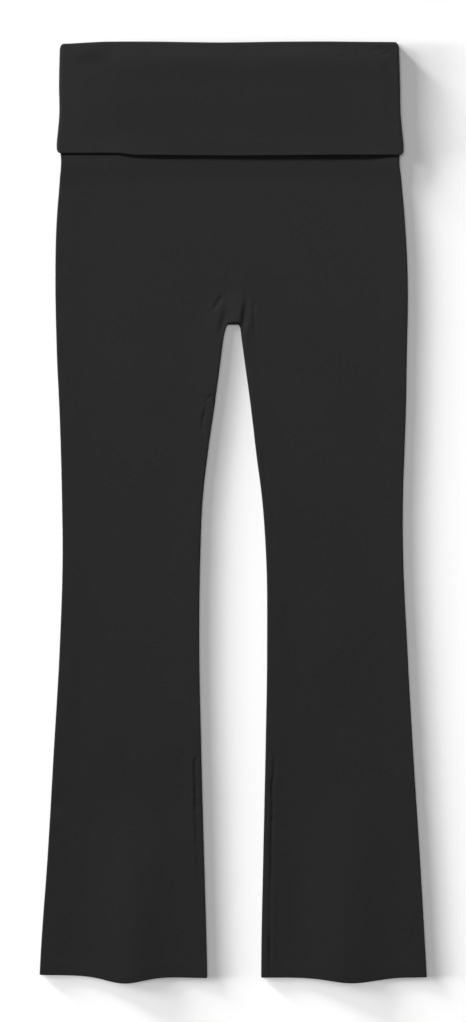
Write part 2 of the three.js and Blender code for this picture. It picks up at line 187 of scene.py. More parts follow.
# How far round the inseam lies rolled onto the front of each leg, mm, and how deep it shows
Wrap = namedtuple("Wrap", "down right left right_deep left_deep")
INSEAM_WRAP = (
    Wrap(330, 0.8, 0.8, 0, 0),
    Wrap(396, 1.0, 0.8, 0, 0),
    Wrap(404, 5.0, 0.8, 0.1, 0),
    Wrap(410, 11.0, 0.9, 0.35, 0),
    Wrap(418, 11.8, 1.0, 0.15, 0),
    Wrap(426, 11.9, 1.0, 0.75, 0),
    Wrap(440, 11.6, 2.0, 0.7, 0),
    Wrap(448, 10.2, 9.0, 0.15, 0.05),
    Wrap(458, 8.0, 11.4, 0.45, 0.2),
    Wrap(466, 6.0, 11.0, 0.35, 0.25),
    Wrap(480, 3.6, 9.8, 0, 0.25),
    Wrap(505, 1.6, 7.2, 0, 0.2),
    Wrap(540, 1.0, 4.2, 0, 0.1),
    Wrap(565, 0.9, 1.0, 0, 0),
    Wrap(804, 0.9, 2.6, 0, 0),
    Wrap(813, 4.0, 7.2, 0, 0.1),
    Wrap(821, 7.8, 10.8, 0.2, 0.5),
    Wrap(826, 8.8, 11.8, 1.1, 0.9),
    Wrap(838, 9.0, 11.6, 1.1, 0.6),
    Wrap(846, 9.0, 10.4, 1.2, 1.0),
    Wrap(880, 9.4, 10.6, 1.2, 1.1),
    Wrap(893, 9.6, 10.8, 0.5, 1.2),
    Wrap(902, 9.6, 10.4, 0.8, 1.0),
    Wrap(920, 9.4, 10.4, 0.6, 1.2),
    Wrap(930, 9.2, 10.4, 0.2, 0.9),
    Wrap(942, 9.0, 10.6, 0.35, 1.2),
    Wrap(955, 8.6, 11.0, 0.3, 1.1),
    Wrap(968, 7.0, 10.6, 0.05, 0.6),
    Wrap(985, 4.6, 10.8, 0, 0.5),
    Wrap(1020, 2.4, 11.2, 0, 0.6),
    Wrap(1036, 1.8, 11.0, 0, 1.1),
    Wrap(1052, 1.4, 11.2, 0, 1.0),
    Wrap(1064, 1.2, 11.3, 0, 0.4),
    Wrap(1082, 1.0, 11.4, 0, 0.4),
)

# Creases and soft folds of the front, mm, with their turn in degrees from the length
Crease = namedtuple("Crease", "x down across along turn high")
CREASES = (
    # The crotch bunches up: a raised patch between one deep crease and small ones
    Crease(7, 319, 11, 20, 0, 2.6),
    Crease(-1, 300, 6, 8, 0, 0.9),
    Crease(12.9, 316, 3.3, 15.5, 5, -5.0),
    Crease(18.5, 314, 3, 17, 5, 0.25),
    Crease(24.5, 322, 1.5, 13, -4, -1.3),
    Crease(24, 303, 1.8, 5, 0, -0.8),
    Crease(-17.5, 299, 2.3, 8, 32, -2.6),
    Crease(-11.5, 321, 3.6, 13, 10, -2.7),
    Crease(30, 384, 5, 46, -9, -0.5),
    # A small crease at the right inseam, then wide soft folds down the legs
    Crease(-27, 407, 1.2, 6, 84, -0.8),
    Crease(66, 372, 11, 55, -38, 0.3),
    Crease(-78, 388, 12, 60, 40, 0.25),
    Crease(118, 560, 15, 120, -4, 0.4),
    Crease(-120, 590, 14, 110, 5, 0.35),
    Crease(96, 745, 16, 90, 8, 0.4),
    Crease(-92, 760, 15, 95, -7, 0.35),
    Crease(-180, 935, 9, 80, 5, 0.6),
    Crease(60, 985, 10, 70, -6, 0.6),
    # A narrow ridge along the left flute
    Crease(127, 1030, 2.4, 60, 1, 0.6),
    # The front sinks a little below the middle of the band's free edge
    Crease(12, 146, 13, 75, 90, -1.0),
)

# Soft marks of the waistband's outer layer in front
BAND_CREASES = (
    Crease(176, 13, 1.7, 6, 62, -1.1),
    Crease(184, 18, 1.7, 5, -20, -0.9),
    Crease(170, 9, 1.9, 7, 80, -0.8),
    Crease(125, 18, 1.5, 8, 80, -0.4),
    Crease(-20, 136, 16, 75, 90, -1.3),
    Crease(-150, 112, 14, 30, 80, -0.4),
    Crease(70, 15, 7, 40, 90, 0.4),
    Crease(-45, 16, 8, 30, 90, 0.5),
)

# Small ripples along a side seam: side, where they start and stop, length and height
Ripple = namedtuple("Ripple", "sign start stop every high")
SIDE_RIPPLES = (
    Ripple(-1, 225, 410, 55, 0.5),
    Ripple(1, 255, 420, 63, 0.35),
    Ripple(-1, 740, 1000, 46, 0.6),
    Ripple(1, 820, 1050, 58, 0.4),
)


class LeggingsSizes(bpy.types.PropertyGroup):
    """Sizes of the cloth that a user may change."""

    leg_thickness: bpy.props.FloatProperty(
        name="Leg cloth", description="Thickness of the single jersey of the legs",
        default=0.9 * MM, min=0.5 * MM, max=1.2 * MM, unit="LENGTH")
    band_thickness: bpy.props.FloatProperty(
        name="Band cloth", description="Thickness of the doubled jersey of the waistband",
        default=1.7 * MM, min=1.0 * MM, max=1.8 * MM, unit="LENGTH")
    seam_gap: bpy.props.FloatProperty(
        name="Seam line", description="Width of the line between two sewn panels",
        default=0.02 * MM, min=0.01 * MM, max=0.3 * MM, unit="LENGTH")
    mouth_gape: bpy.props.FloatProperty(
        name="Open waist", description="How high the front lies off the back at the waist",
        default=4.2 * MM, min=0.0, max=8 * MM, unit="LENGTH")
    flute_height: bpy.props.FloatProperty(
        name="Hem flutes", description="Height of the flute that rises from each hem",
        default=8.6 * MM, min=0.0, max=12 * MM, unit="LENGTH")
    fold_puff: bpy.props.FloatProperty(
        name="Fold roll", description="Height of the soft roll under the waist's fold line",
        default=2.5 * MM, min=0.0, max=4 * MM, unit="LENGTH")
    pucker: bpy.props.FloatProperty(
        name="Seam pucker", description="Height of the puckers along the inseams",
        default=0.28 * MM, min=0.0, max=1 * MM, unit="LENGTH")


class JerseyFinish(bpy.types.PropertyGroup):
    """Colour and knit of the jersey."""

    leg_colour: bpy.props.FloatVectorProperty(
        name="Leg colour", description="Colour of the legs' jersey", subtype="COLOR",
        size=3, default=(0.0325, 0.0325, 0.0325), min=0.0, max=1.0)
    # The band is the legs' jersey painted a touch lighter, as painted light for the brighter light near
    # the waist
    band_colour_painted_lighter: bpy.props.FloatVectorProperty(
        name="Band colour", description="Colour of the waistband's jersey", subtype="COLOR",
        size=3, default=(0.0328, 0.0328, 0.0328), min=0.0, max=1.0)
    wale: bpy.props.FloatProperty(
        name="Wale", description="Distance between the knit's upright ribs",
        default=0.8 * MM, min=0.3 * MM, max=3 * MM, unit="LENGTH")
    course: bpy.props.FloatProperty(
        name="Course", description="Distance between the knit's rows of stitches",
        default=0.62 * MM, min=0.3 * MM, max=3 * MM, unit="LENGTH")
    relief: bpy.props.FloatProperty(
        name="Relief", description="Height of the knit stitches",
        default=0.09 * MM, min=0.0, max=0.5 * MM, unit="LENGTH")


class StudioSettings(bpy.types.PropertyGroup):
    """Light, floor and camera of the stage."""

    key_power: bpy.props.FloatProperty(
        name="Key light", description="Power of the soft light past the waist, on the cloth alone",
        default=449.0, min=0.0, subtype="POWER")
    sky: bpy.props.FloatProperty(
        name="Fill light", description="Strength of the even white light all round",
        default=0.155, min=0.0)
    floor_skim: bpy.props.FloatProperty(
        name="Floor skim", description="Very low light on the floor alone, for the long soft shadow",
        default=7.3, min=0.0)
    floor_side: bpy.props.FloatProperty(
        name="Floor side", description="Low light on the floor alone, for the shadow's dark rim",
        default=3.9, min=0.0)
    floor_top: bpy.props.FloatProperty(
        name="Floor top", description="Overhead light on the floor alone",
        default=0.9, min=0.0)
    camera_height: bpy.props.FloatProperty(
        name="Camera height", description="Height of the camera above the floor",
        default=4.0, min=1.0, unit="LENGTH")
    picture_height: bpy.props.FloatProperty(
        name="Picture height", description="Length of floor that the picture shows",
        default=1022 * 1.15 * MM, min=0.2, unit="LENGTH")


def smoothstep(value, low, high):
    """Rises smoothly from 0 at low to 1 at high."""
    t = np.clip((value - low) / (high - low), 0, 1)
    return t * t * (3 - 2 * t)


def read(table, column, down):
    """One column of a table at places down the garment, on a smooth curve."""
    places = np.array([row.down for row in table], float)
    values = np.array([getattr(row, column) for row in table], float)
    slopes = np.gradient(values, places)
    at = np.clip(np.searchsorted(places, down, side="right") - 1, 0, len(places) - 2)
    span = places[at + 1] - places[at]
    t = np.clip((down - places[at]) / span, 0, 1)
    rise, start, end = values[at + 1] - values[at], slopes[at] * span, slopes[at + 1] * span
    cubic, square = start + end - 2 * rise, 3 * rise - 2 * start - end
    return ((cubic * t + square) * t + start) * t + values[at]


def by_side(table, ending, x, down):
    """The right or the left column of a table, as each point's side asks."""
    right, left = read(table, "right" + ending, down), read(table, "left" + ending, down)
    return np.where(x < 0, right, left)


def edge_distance(x, down):
    """Distance of points in from the nearest edge of the flat legs."""
    across = np.abs(x) - by_side(OUTLINE, "_inseam", x, down) + CROTCH_CORNER
    above = CROTCH + CROTCH_CORNER - down
    outside = np.hypot(np.maximum(across, 0), np.maximum(above, 0))
    arch = outside + np.minimum(np.maximum(across, above), 0) - CROTCH_CORNER
    return np.minimum(by_side(OUTLINE, "_side", x, down) - np.abs(x), arch)


def crease_heights(creases, x, down):
    """Sum of the soft ridges and troughs of a table."""
    total = np.zeros_like(x)
    for crease in creases:
        turn = np.radians(crease.turn)
        dx, dy = x - crease.x, down - crease.down
        across = (dx * np.cos(turn) + dy * np.sin(turn)) / crease.across
        along = (dy * np.cos(turn) - dx * np.sin(turn)) / crease.along
        total += crease.high * np.exp(-(across**2) - along**2)
    return total


def flute_shape(x):
    """Shape across a leg's flute, 1 on its crest."""
    total = np.zeros_like(x)
    for sign, hem in ((-1, HEMS["right"]), (1, HEMS["left"])):
        spread = np.where(np.abs(x) > abs(hem.crest), hem.outward, hem.inward)
        total += np.where(x * sign > 0, np.exp(-(((x - hem.crest) / spread) ** 2)), 0)
    return total


def flute_height(x, down, sizes):
    """Height of the hem flutes."""
    reach = np.where(x < 0, HEMS["right"].up, HEMS["left"].up)
    return sizes.flute_height / MM * smoothstep(down, LAST_ROW - reach, LAST_ROW) * flute_shape(x)


def roll_inset(arc):
    """How far in from the edge a point lies that is this far round the rolled side."""
    round_part = SIDE_ROLL * (1 - np.cos(np.minimum(arc, QUARTER_ROLL) / SIDE_ROLL))
    return round_part + np.maximum(arc - QUARTER_ROLL, 0)


def inseam_relief(x, down, sizes):
    """Groove, soft ridge and puckers where the inseam lies rolled onto the front."""
    wrap = by_side(INSEAM_WRAP, "", x, down)
    seam = by_side(OUTLINE, "_inseam", x, down) + roll_inset(wrap)
    away = np.abs(np.abs(x) - seam)
    rolled = smoothstep(wrap, 2.5, 6) * np.maximum(by_side(INSEAM_WRAP, "_deep", x, down), 0)
    groove = -1.6 * np.exp(-((away / 1.6) ** 2)) + 0.25 * np.exp(-(((away - 4.2) / 2) ** 2))
    uneven = np.sin(down / 2.3 + 1.1 * np.sin(down / 9)) * (0.55 + 0.45 * np.sin(down / 17))
    pucker = sizes.pucker / MM * uneven * np.exp(-(((away - 1.8) / 2.6) ** 2))
    return rolled * (groove + pucker)


def side_ripples(x, down):
    """Small uneven ripples along the side seams."""
    total = np.zeros_like(x)
    from_side = by_side(OUTLINE, "_side", x, down) - np.abs(x)
    for ripple in SIDE_RIPPLES:
        along = smoothstep(down, ripple.start, ripple.start + 30)
        along = along * (1 - smoothstep(down, ripple.stop - 30, ripple.stop))
        wave = np.sin(2 * pi * down / ripple.every + 1.9 * np.sin(down / 37))
        wave = wave * (0.55 + 0.45 * np.sin(down / 23 + 1))
        near = np.exp(-(((from_side - 7) / 5) ** 2)) * (x * ripple.sign > 0)
        total += ripple.high * along * wave * near
    return total


def mouth_rise(x, down, sizes):
    """How high the front lies off the back towards the open waist."""
    from_side = by_side(BAND_OUTLINE, "_side", x, down) - np.abs(x)
    shape = smoothstep(from_side, *MOUTH_SIDES) * (1 - smoothstep(down, *MOUTH_DEPTH))
    return sizes.mouth_gape / MM * shape


def front_rise(x, down, sizes):
    """Height of the front of the legs over its two flat layers."""
    edge = edge_distance(x, down)
    inside = smoothstep(edge, 0, EDGE_PUFF)
    # Near the right side most of the front sinks farther down, so the free edge shades it less
    step = 0.15 + 0.85 * smoothstep(x, *LATE_SIDE)
    settled = -SETTLE * (step * smoothstep(down, *SINK) + (1 - step) * smoothstep(down, *LATE_SINK))
    bridge = BAND_LIFT * (smoothstep(down, *LIFT_FALL) - smoothstep(down, *FRONT_FALL))
    hem_turn = 0.08 * smoothstep(down - hem_line(x), -HEM_ALLOWANCE - 1, -HEM_ALLOWANCE + 2)
    at_arch = 1 - smoothstep(np.abs(x), CROTCH_HALF, 14)
    near_edge = smoothstep(edge, 0, FINE_EDGE + (FINE_ARCH - FINE_EDGE) * at_arch)
    fine = crease_heights(CREASES, x, down) + inseam_relief(x, down, sizes) + hem_turn
    low = flute_height(x, down, sizes) + settled + bridge
    total = low * inside + fine * near_edge + side_ripples(x, down)
    above_floor = np.logaddexp(0, FLOOR_SHARPNESS * (total - LEAST_RISE)) / FLOOR_SHARPNESS
    return mouth_rise(x, down, sizes) + LEAST_RISE + above_floor


def hem_line(x):
    """Place of the hem's edge, mm down."""
    total = np.zeros_like(x)
    for side, hem in HEMS.items():
        here = (x > 0) == (side == "left")
        inseam = read(OUTLINE, side + "_inseam", np.array(hem.at_inseam))
        out = read(OUTLINE, side + "_side", np.array(hem.at_side))
        share = (np.abs(x) - inseam) / (out - inseam)
        dip = hem.dip * np.exp(-(((x - hem.dip_at) / hem.dip_spread) ** 2))
        line = hem.at_inseam + (hem.at_side - hem.at_inseam) * share + dip
        total = np.where(here, line, total)
    return total


def body_height(x, down, face, sizes):
    """Height of the legs' front (face 1) or back (face -1) surface."""
    lift = BAND_LIFT * (1 - smoothstep(down, *LIFT_FALL))
    outward = 1 - np.clip(edge_distance(x, down) / SIDE_ROLL, 0, 1)
    roll = SIDE_ROLL * np.sqrt(1 - outward**2)
    rise = np.where(face > 0, front_rise(x, down, sizes), 0)
    return lift + SIDE_ROLL + HALF_SPACE + face * (HALF_SPACE * (outward < 1) + roll) + rise


def steps(*runs):
    """Places from the first value on, in runs of (end, step)."""
    places = [runs[0]]
    for end, step in runs[1:]:
        count = max(1, round((end - places[-1]) / step))
        places.extend(np.linspace(places[-1], end, count + 1)[1:])
    return np.array(places)


def leg_rows(fine):
    """Places down a leg panel of its rows of vertices; fine is 1 or more."""
    return steps(
        WAIST_SEAM + HALF_SPACE, (134, 2.5 * fine), (162, 2 * fine), (290, 3.2 * fine),
        (CROTCH + 1, 1.2), (CROTCH + CROTCH_CORNER, 0.5), (346, 1.5), (450, 2 * fine),
        (780, 3.6 * fine), (1000, 2 * fine), (LAST_ROW, 1.8 * fine))


def inner_start(side, rows, half_gap):
    """Where a leg panel starts at the centre, gusset or inseam, and which rows roll."""
    angle_down = CROTCH + CROTCH_CORNER * (1 - np.sin(LEG_AT))
    angle_x = CROTCH_FLAT + CROTCH_CORNER * np.cos(LEG_AT)
    tip = GUSSET_TIP_HALF + 2 * half_gap
    gusset = tip + (angle_x - tip) * (rows - GUSSET_TIP) / (angle_down - GUSSET_TIP)
    drop = np.clip(CROTCH + CROTCH_CORNER - rows, 0, CROTCH_CORNER)
    corner = CROTCH_FLAT + np.sqrt(CROTCH_CORNER**2 - drop**2)
    inseam = np.where(drop > 0, corner, read(OUTLINE, side + "_inseam", rows))
    start = np.where(rows < GUSSET_TIP, half_gap, np.where(rows < angle_down, gusset, inseam))
    return start, rows >= angle_down


def leg_surface(side, face, fine, sizes):
    """Rows of surface points of one leg panel, and where each lies on its flat cut."""
    sign = 1 if side == "left" else -1
    half_gap = sizes.seam_gap / MM / 2
    rows = leg_rows(fine)
    start, rolls = inner_start(side, rows, half_gap)
    outer = read(OUTLINE, side + "_side", rows)
    wrap = read(INSEAM_WRAP, side, rows) * smoothstep(rows, CROTCH + CROTCH_CORNER, 345)
    inner_arc = np.where(rolls, face * wrap + half_gap, QUARTER_ROLL)
    inner_edge = np.where(rolls, start, start - SIDE_ROLL)
    length = outer - inner_edge - 2 * SIDE_ROLL + 2 * QUARTER_ROLL - inner_arc - half_gap
    near_inner = steps(0, (26, 0.9), (30, 2)) if face > 0 else steps(0, (17, 0.85), (19, 2))
    near_outer = steps(0, (4.2, 0.6), (10, 1.6))
    middle = np.linspace(0, 1, round(LEG_LEVEL / (LEG_COLUMN * fine)))[1:-1]
    room = length - near_inner[-1] - near_outer[-1]
    along = np.hstack([
        np.broadcast_to(near_inner, (len(rows), len(near_inner))),
        near_inner[-1] + room[:, None] * middle,
        length[:, None] - near_outer[::-1],
    ])
    arc_in = inner_arc[:, None] + along
    arc_out = half_gap + length[:, None] - along
    from_inner = inner_edge[:, None] + roll_inset(np.abs(arc_in))
    from_outer = outer[:, None] - roll_inset(arc_out)
    x = sign * np.where(arc_in < arc_out, from_inner, from_outer)
    share = np.clip((rows - HEM_BEND) / (LAST_ROW - HEM_BEND), 0, 1)[:, None]
    down = rows[:, None] + share * (hem_line(x) - HEM_ROLL - LAST_ROW)
    faces = np.where(arc_in < 0, -face, face)
    height = body_height(x, down, faces, sizes)
    return turn_in_hem(x, down, height, along * sign * face, face)


def turn_in_hem(x, down, height, cut_x, face):
    """Adds rows that turn the cloth in round the hem and run back up inside."""
    tangent_x, tangent_z = np.gradient(x[-1]), np.gradient(height[-1])
    length = np.hypot(tangent_x, tangent_z)
    middle = len(length) // 2
    sense = -face * np.sign(tangent_x[middle])
    inward_x, inward_z = -tangent_z / length * sense, tangent_x / length * sense
    angles = np.radians([30, 60, 90, 120, 150, 180])
    turned = np.full(len(HEM_TURNED), 2 * HEM_ROLL)
    depths = np.concatenate([HEM_ROLL * (1 - np.cos(angles)), turned])[:, None]
    onward = np.concatenate([HEM_ROLL * np.sin(angles), -HEM_TURNED])[:, None]
    extra = HEM_ROLL * np.concatenate([angles, pi + HEM_TURNED])[:, None]
    cut_y = np.vstack([down, down[-1] + extra])
    return (np.vstack([x, x[-1] + inward_x * depths]),
            np.vstack([down, down[-1] + onward]),
            np.vstack([height, height[-1] + inward_z * depths]),
            np.vstack([cut_x, np.broadcast_to(cut_x[-1], (len(extra), len(length)))]), cut_y)


def gusset_surface(sizes):
    """Surface points of the gusset, from its front tip over the crotch to its back tip."""
    end_x = CROTCH_FLAT + CROTCH_CORNER * np.cos(GUSSET_AT)
    across = np.sin(np.linspace(-pi / 2, pi / 2, 25))
    shares = 1 - np.linspace(1, 0, 40) ** 1.9
    faces = np.concatenate([np.ones(len(shares)), -np.ones(len(shares) - 1)])
    shares = np.concatenate([shares, shares[-2::-1]])
    edge_x = across * end_x
    past = np.maximum(np.abs(edge_x) - CROTCH_FLAT, 0)
    edge_down = CROTCH + CROTCH_CORNER - np.sqrt(CROTCH_CORNER**2 - past**2)
    tip_x = across * GUSSET_TIP_HALF
    x = tip_x + (edge_x - tip_x) * shares[:, None]
    down = GUSSET_TIP + (edge_down - GUSSET_TIP) * shares[:, None]
    height = body_height(x, down, np.broadcast_to(faces[:, None], x.shape), sizes)
    flat = np.where(faces > 0, shares, 2 - shares)[:, None] * GUSSET_LENGTH + 0 * x
    return x, down, height, x, flat


def fold_roll(x, below):
    """Shape of the soft roll under the fold line, 1 on its crest, steeper at the right corner."""
    near_corner = smoothstep(-x, *ROLL_CORNER)
    rising = 0.4 + 0.6 * np.exp(-(((below - ROLL_CREST) / 15) ** 2))
    falling = 0.72 + 0.28 * np.exp(-(((below - ROLL_CREST) / 13) ** 2))
    middle = np.where(below < ROLL_CREST, rising, falling * (1 - smoothstep(below, 62, 126)))
    corner = 0.75 * (1 - smoothstep(below, 9, 27)) + 0.3 * (1 - smoothstep(below, 20, 118))
    return middle + (corner - middle) * near_corner


def band_path(sizes):
    """Outer side of the waistband's cloth: from the free edge over the fold to the seam."""
    turn = (BAND_ROLL - SIDE_ROLL + sizes.band_thickness / MM) / 2
    outer = steps(BAND_EDGE, (124, -1.2), (40, -2.6), (turn, -1.6))[:-1]
    angles = np.radians(np.linspace(180, 0, 17))
    inner = steps(turn, (30, 3), (WAIST_SEAM - HALF_SPACE, 8))[1:]
    below = np.concatenate([outer, turn * (1 - np.sin(angles)), inner])
    inside = BAND_ROLL - 2 * turn
    out = np.concatenate([
        np.full(len(outer), BAND_ROLL), BAND_ROLL - turn * (1 + np.cos(angles)),
        np.full(len(inner), inside)])
    outside = (out - inside) / (2 * turn)
    end = np.where(outside > 0.5, BAND_EDGE, WAIST_SEAM)
    return below, out, outside, end


def band_surface(face, fine, sizes):
    """Surface points of the front or back half of the folded waistband."""
    below, out, outside, end = (column[:, None] for column in band_path(sizes))
    rolled = np.radians(np.linspace(1.5 if face > 0 else 0.5, 90, 9))
    level = np.full(round(BAND_LEVEL / (BAND_COLUMN * fine)), pi / 2)
    angle = np.concatenate([rolled, level, rolled[::-1]])
    zeros, ones = np.zeros(len(rolled)), np.ones(len(rolled))
    side = np.concatenate([-ones, np.zeros(len(level)), ones])
    share = np.concatenate([zeros, np.linspace(0, 1, len(level) + 2)[1:-1], ones])
    right = BAND_ROLL - read(BAND_OUTLINE, "right_side", below)
    left = read(BAND_OUTLINE, "left_side", below) - BAND_ROLL
    x = right + (left - right) * share + side * out * np.cos(angle)
    below = np.broadcast_to(below, x.shape)
    # The fold line sags and the free edge hangs a little, and both draw in at the corners
    corner = BAND_CORNER * (1 - np.sin(angle))
    sag = 1.1 * np.exp(-(((x + 15) / 55) ** 2)) + 2 * smoothstep(-x, 140, 200) + corner
    hang = 0.8 * np.exp(-((x / 75) ** 2)) - 2.2 * smoothstep(-x, 112, 134) - corner
    to_end = np.clip(below / end, 0, 1)
    sink = sag * (1 - to_end) + np.where(outside > 0.5, hang, 0) * to_end
    height = LAYER_MIDDLE + face * (HALF_SPACE + out * np.sin(angle))
    if face > 0:
        in_from_side = np.minimum(x - right, left - x)
        fade = 20 + 8 * smoothstep(-x, *ROLL_CORNER)
        puff = sizes.fold_puff / MM * fold_roll(x, below) * smoothstep(in_from_side, 0, fade)
        marks = crease_heights(BAND_CREASES, x, below) * smoothstep(in_from_side, 0, 9)
        height = height + mouth_rise(x, below, sizes) + outside * (puff + marks)
    length = np.cumsum(np.hypot(np.diff(below[:, :1], axis=0, prepend=below[:1, :1]), 0.2))
    return x, below + sink, height, x * face, length[:, None] + 0 * x


def cloth_mesh(name, surface, outward_up):
    """A grid of cloth laid on surface points, with its flat cut as UV map, in metres."""
    x, down, height, cut_x, cut_y = (np.asarray(part, float) for part in surface)
    rows, columns = x.shape
    bm = bmesh.new()
    bmesh.ops.create_grid(bm, x_segments=columns - 1, y_segments=rows - 1, size=1.0)
    uv = bm.loops.layers.uv.new("cut")
    places = {}
    for vert in bm.verts:
        column = round((vert.co.x + 1) / 2 * (columns - 1))
        row = round((1 - vert.co.y) / 2 * (rows - 1))
        places[vert] = (row, column)
    for vert, at in places.items():
        vert.co = (x[at] * MM, (FOLD_LINE_Y - down[at]) * MM, height[at] * MM)
    for face in bm.faces:
        face.smooth = True
        for loop in face.loops:
            at = places[loop.vert]
            loop[uv].uv = (cut_x[at] * MM, -cut_y[at] * MM)
    outward = 1 if outward_up else -1
    outermost = max(bm.faces, key=lambda face: outward * face.calc_center_median().z)
    outermost.normal_update()
    if outermost.normal.z * outward < 0:
        bmesh.ops.reverse_faces(bm, faces=bm.faces)
    mesh = bpy.data.meshes.new(name)
    bm.to_mesh(mesh)
    bm.free()
    piece = bpy.data.objects.new(name, mesh)
    bpy.context.scene.collection.objects.link(piece)
    return piece


def give_thickness(piece, thickness, rounding):
    """Turns a sheet into a closed wall inwards and rounds its cut edges."""
    wall = piece.modifiers.new("wall", "SOLIDIFY")
    wall.thickness = thickness
    wall.offset = -1
    wall.use_even_offset = False
    wall.use_quality_normals = True
    wall.use_rim = True
    edge = piece.modifiers.new("edge", "BEVEL")
    edge.width = rounding
    edge.segments = 2
    edge.limit_method = "ANGLE"
    edge.angle_limit = np.radians(55)
    edge.affect = "EDGES"
    edge.profile = 0.5
    edge.material = -1
    edge.harden_normals = True


def jersey(name, colour, finish):
    """Black knit jersey: upright wales of small V stitches, matte, a little uneven in tone, with painted
    shade between the wales.
    """
    material = bpy.data.materials.new(name)
    material.use_nodes = True
    nodes, links = material.node_tree.nodes, material.node_tree.links
    shader = nodes["Principled BSDF"]
    shader.inputs["Specular IOR Level"].default_value = 0.22
    shader.inputs["Sheen Weight"].default_value = 0.05
    shader.inputs["Sheen Roughness"].default_value = 0.45

    def sums(operation, *values):
        node = nodes.new("ShaderNodeMath")
        node.operation = operation
        for socket, value in zip(node.inputs, values):
            if isinstance(value, (int, float)):
                socket.default_value = value
            else:
                links.new(value, socket)
        return node.outputs[0]

    def noise(scale, detail):
        node = nodes.new("ShaderNodeTexNoise")
        node.inputs["Scale"].default_value = scale
        node.inputs["Detail"].default_value = detail
        links.new(coordinates, node.inputs["Vector"])
        return node.outputs["Fac"]

    uv = nodes.new("ShaderNodeUVMap")
    uv.uv_map = "cut"
    coordinates = uv.outputs["UV"]
    axes = nodes.new("ShaderNodeSeparateXYZ")
    links.new(coordinates, axes.inputs[0])
    wale = sums("DIVIDE", axes.outputs["X"], finish.wale)
    from_rib = sums("ABSOLUTE", sums("SUBTRACT", sums("FRACT", wale), 0.5))
    course = sums("ADD", sums("DIVIDE", axes.outputs["Y"], finish.course), sums("MULTIPLY", from_rib, 1.3))
    stitch = sums("SINE", sums("MULTIPLY", course, 2 * pi))
    rib = sums("COSINE", sums("MULTIPLY", from_rib, 2 * pi))
    fibre = noise(2600, 3)
    height = sums("ADD", sums("MULTIPLY", rib, 0.5), sums("MULTIPLY", stitch, 0.22))
    height = sums("ADD", height, sums("MULTIPLY", fibre, 0.5))
    bump = nodes.new("ShaderNodeBump")
    bump.inputs["Strength"].default_value = 0.6
    bump.inputs["Distance"].default_value = finish.relief
    links.new(height, bump.inputs["Height"])
    links.new(bump.outputs["Normal"], shader.inputs["Normal"])

    # Colour: an uneven tone at random, from two noises
    tone_and_groove_shade = sums("ADD", 0.82, sums("MULTIPLY", noise(9, 3), 0.13))
    tone_and_groove_shade = sums("ADD", tone_and_groove_shade, sums("MULTIPLY", noise(900, 2), 0.2))
    # Painted light and shade: lighter on the wales' tops, darker in the grooves between them
    tone_and_groove_shade = sums("ADD", tone_and_groove_shade, sums("MULTIPLY", rib, 0.06))
    tint = nodes.new("ShaderNodeMix")
    tint.data_type = "RGBA"
    tint.blend_type = "MULTIPLY"
    tint.inputs["Factor"].default_value = 1.0
    tint.inputs["A"].default_value = (*colour, 1)
    links.new(tone_and_groove_shade, tint.inputs["B"])
    links.new(tint.outputs["Result"], shader.inputs["Base Color"])
    rough = sums("ADD", 0.84, sums("MULTIPLY", noise(60, 2), 0.1))
    links.new(rough, shader.inputs["Roughness"])
    return material


def finish_cloth(piece, node, material):
    """Gives a piece of cloth its place in the frame and its material."""
    piece.data.materials.append(material)
    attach(piece, "root")
    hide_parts(node)


def shared_material(slot):
    """The knit of a slot, made when it is first asked for."""
    name = f"{slot}_knit"
    finish = bpy.context.scene.jersey_finish
    # The band's colour is the legs' jersey painted a touch lighter: painted light
    colour = finish.band_colour_painted_lighter if slot == "band_jersey" else finish.leg_colour
    return bpy.data.materials.get(name) or jersey(name, colour, finish)


def thread_material():
    """Black polyester thread: two plies twisted together, a little shinier than the jersey."""
    material = bpy.data.materials.new("hem_thread")
    material.use_nodes = True
    nodes, links = material.node_tree.nodes, material.node_tree.links
    shader = nodes["Principled BSDF"]
    shader.inputs["Base Color"].default_value = (0.02, 0.02, 0.02, 1)
    shader.inputs["Roughness"].default_value = 0.6
    place = nodes.new("ShaderNodeTexCoord")
    twist = nodes.new("ShaderNodeTexWave")
    twist.bands_direction = "DIAGONAL"
    twist.inputs["Scale"].default_value = 900
    links.new(place.outputs["Object"], twist.inputs["Vector"])
    bump = nodes.new("ShaderNodeBump")
    bump.inputs["Strength"].default_value = 0.5
    bump.inputs["Distance"].default_value = 0.05 * MM
    links.new(twist.outputs["Fac"], bump.inputs["Height"])
    links.new(bump.outputs["Normal"], shader.inputs["Normal"])
    return material


def stitch_row(bm, side, face, up_from_hem, sizes):
    """Lays one row of stitches on the front (face 1) or back (face -1) of a hem."""
    sign = 1 if side == "left" else -1
    inner = float(read(OUTLINE, side + "_inseam", STITCH_ENDS_AT)) + STITCH_INSET
    outer = float(read(OUTLINE, side + "_side", STITCH_ENDS_AT)) - STITCH_INSET
    starts = np.arange(inner, outer - STITCH_LENGTH, STITCH_PITCH)
    ends = np.stack([starts, starts + STITCH_LENGTH]) * sign
    down = hem_line(ends) - up_from_hem
    height = body_height(ends, down, face, sizes) - face * 0.25 * STITCH_WIDTH
    for at in range(len(starts)):
        tips = [Vector((ends[i, at], FOLD_LINE_Y - down[i, at], height[i, at])) * MM for i in (0, 1)]
        made = bmesh.ops.create_uvsphere(bm, u_segments=6, v_segments=4, radius=0.5)
        along = tips[1] - tips[0]
        turned = along.to_track_quat("Z", "Y").to_matrix().to_4x4()
        size = Matrix.Diagonal((STITCH_WIDTH * MM, STITCH_WIDTH * MM, along.length, 1))
        whole = Matrix.Translation((tips[0] + tips[1]) / 2) @ turned @ size
        bmesh.ops.transform(bm, matrix=whole, verts=made["verts"])


def panel_area(side):
    """Flat area of one leg panel, in square metres."""
    rows = leg_rows(1)
    start, _ = inner_start(side, rows, 0)
    width = read(OUTLINE, side + "_side", rows) - start
    return float(np.sum((width[1:] + width[:-1]) / 2 * np.diff(rows))) * MM * MM


